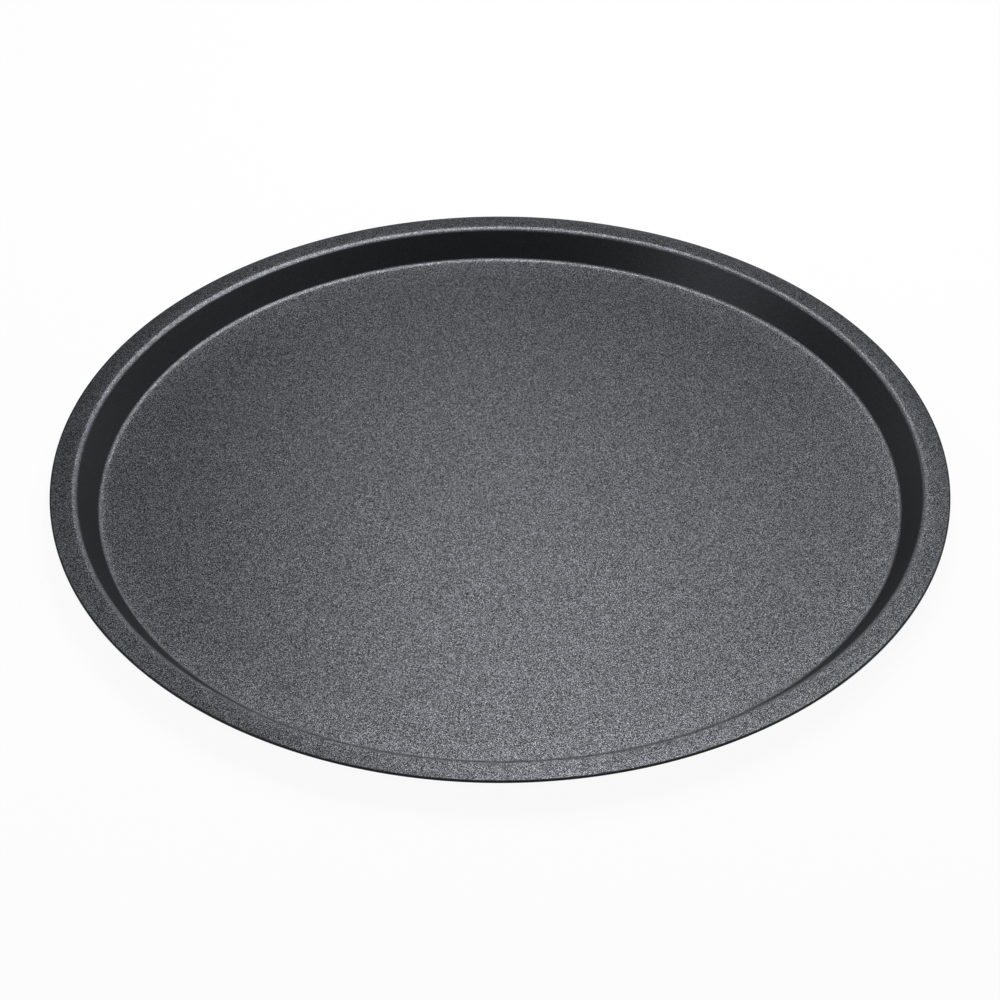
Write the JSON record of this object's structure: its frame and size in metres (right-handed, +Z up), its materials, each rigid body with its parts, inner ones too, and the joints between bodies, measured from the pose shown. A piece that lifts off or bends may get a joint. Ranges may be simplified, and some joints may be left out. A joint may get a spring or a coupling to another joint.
{
  "type": "pizza pan",
  "caption": "Round shallow pizza pan pressed from sheet steel, with a sloping wall, a turned-out rim with a plain cut edge and a speckled non-stick coat.",
  "frame": {"origin": "middle of the pan, on the surface it stands on", "axes": "+Z up, along the pan's axis and out of its open side; +X and +Y level, in no special direction because the pan is round"},
  "size_m": [0.32, 0.32, 0.0106],
  "materials": {
    "sheet_steel": "cold-rolled sheet, hidden under the coats",
    "speckled_coat": "satin dark grey non-stick coat with fine bright metallic flecks",
    "plain_coat": "satin dark grey heat-resistant coat"
  },
  "bodies": {
    "root": {"steel_pan": "sheet_steel", "inner_coating": "speckled_coat", "outer_coating": "plain_coat"}
  },
  "joints": []
}
